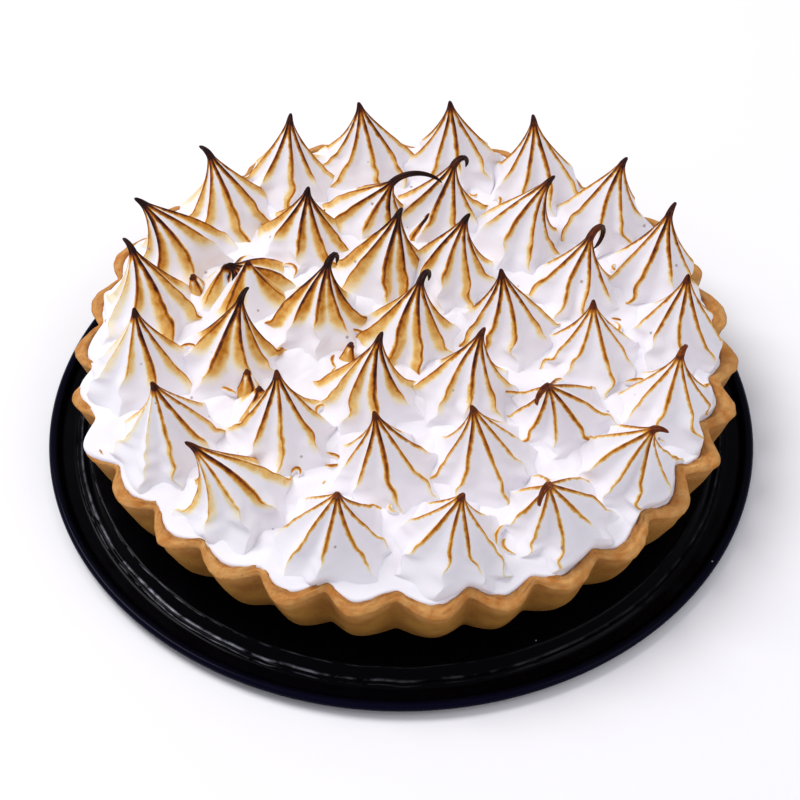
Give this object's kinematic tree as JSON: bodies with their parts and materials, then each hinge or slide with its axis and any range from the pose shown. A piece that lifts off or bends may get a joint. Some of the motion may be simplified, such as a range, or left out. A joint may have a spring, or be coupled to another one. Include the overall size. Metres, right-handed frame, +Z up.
{
  "type": "lemon meringue pie",
  "caption": "Round torched lemon meringue pie: fluted pastry crust filled with piped star-tip meringue peaks, on a thin black plastic cake base with a raised middle.",
  "frame": {"origin": "middle of the cake base, on the surface it stands on", "axes": "+Z up out of the pie, +Y away from the side the picture is taken from, +X to the right as seen from there"},
  "size_m": [0.2794, 0.2794, 0.0725],
  "materials": {
    "baked_pastry": "dry baked shortcrust, golden brown",
    "torched_meringue": "satin white meringue with browned ridges and dark tips",
    "black_plastic": "glossy black formed plastic"
  },
  "bodies": {
    "root": {"cake_base": "black_plastic", "crust": "baked_pastry", "meringue": "torched_meringue"}
  },
  "joints": []
}
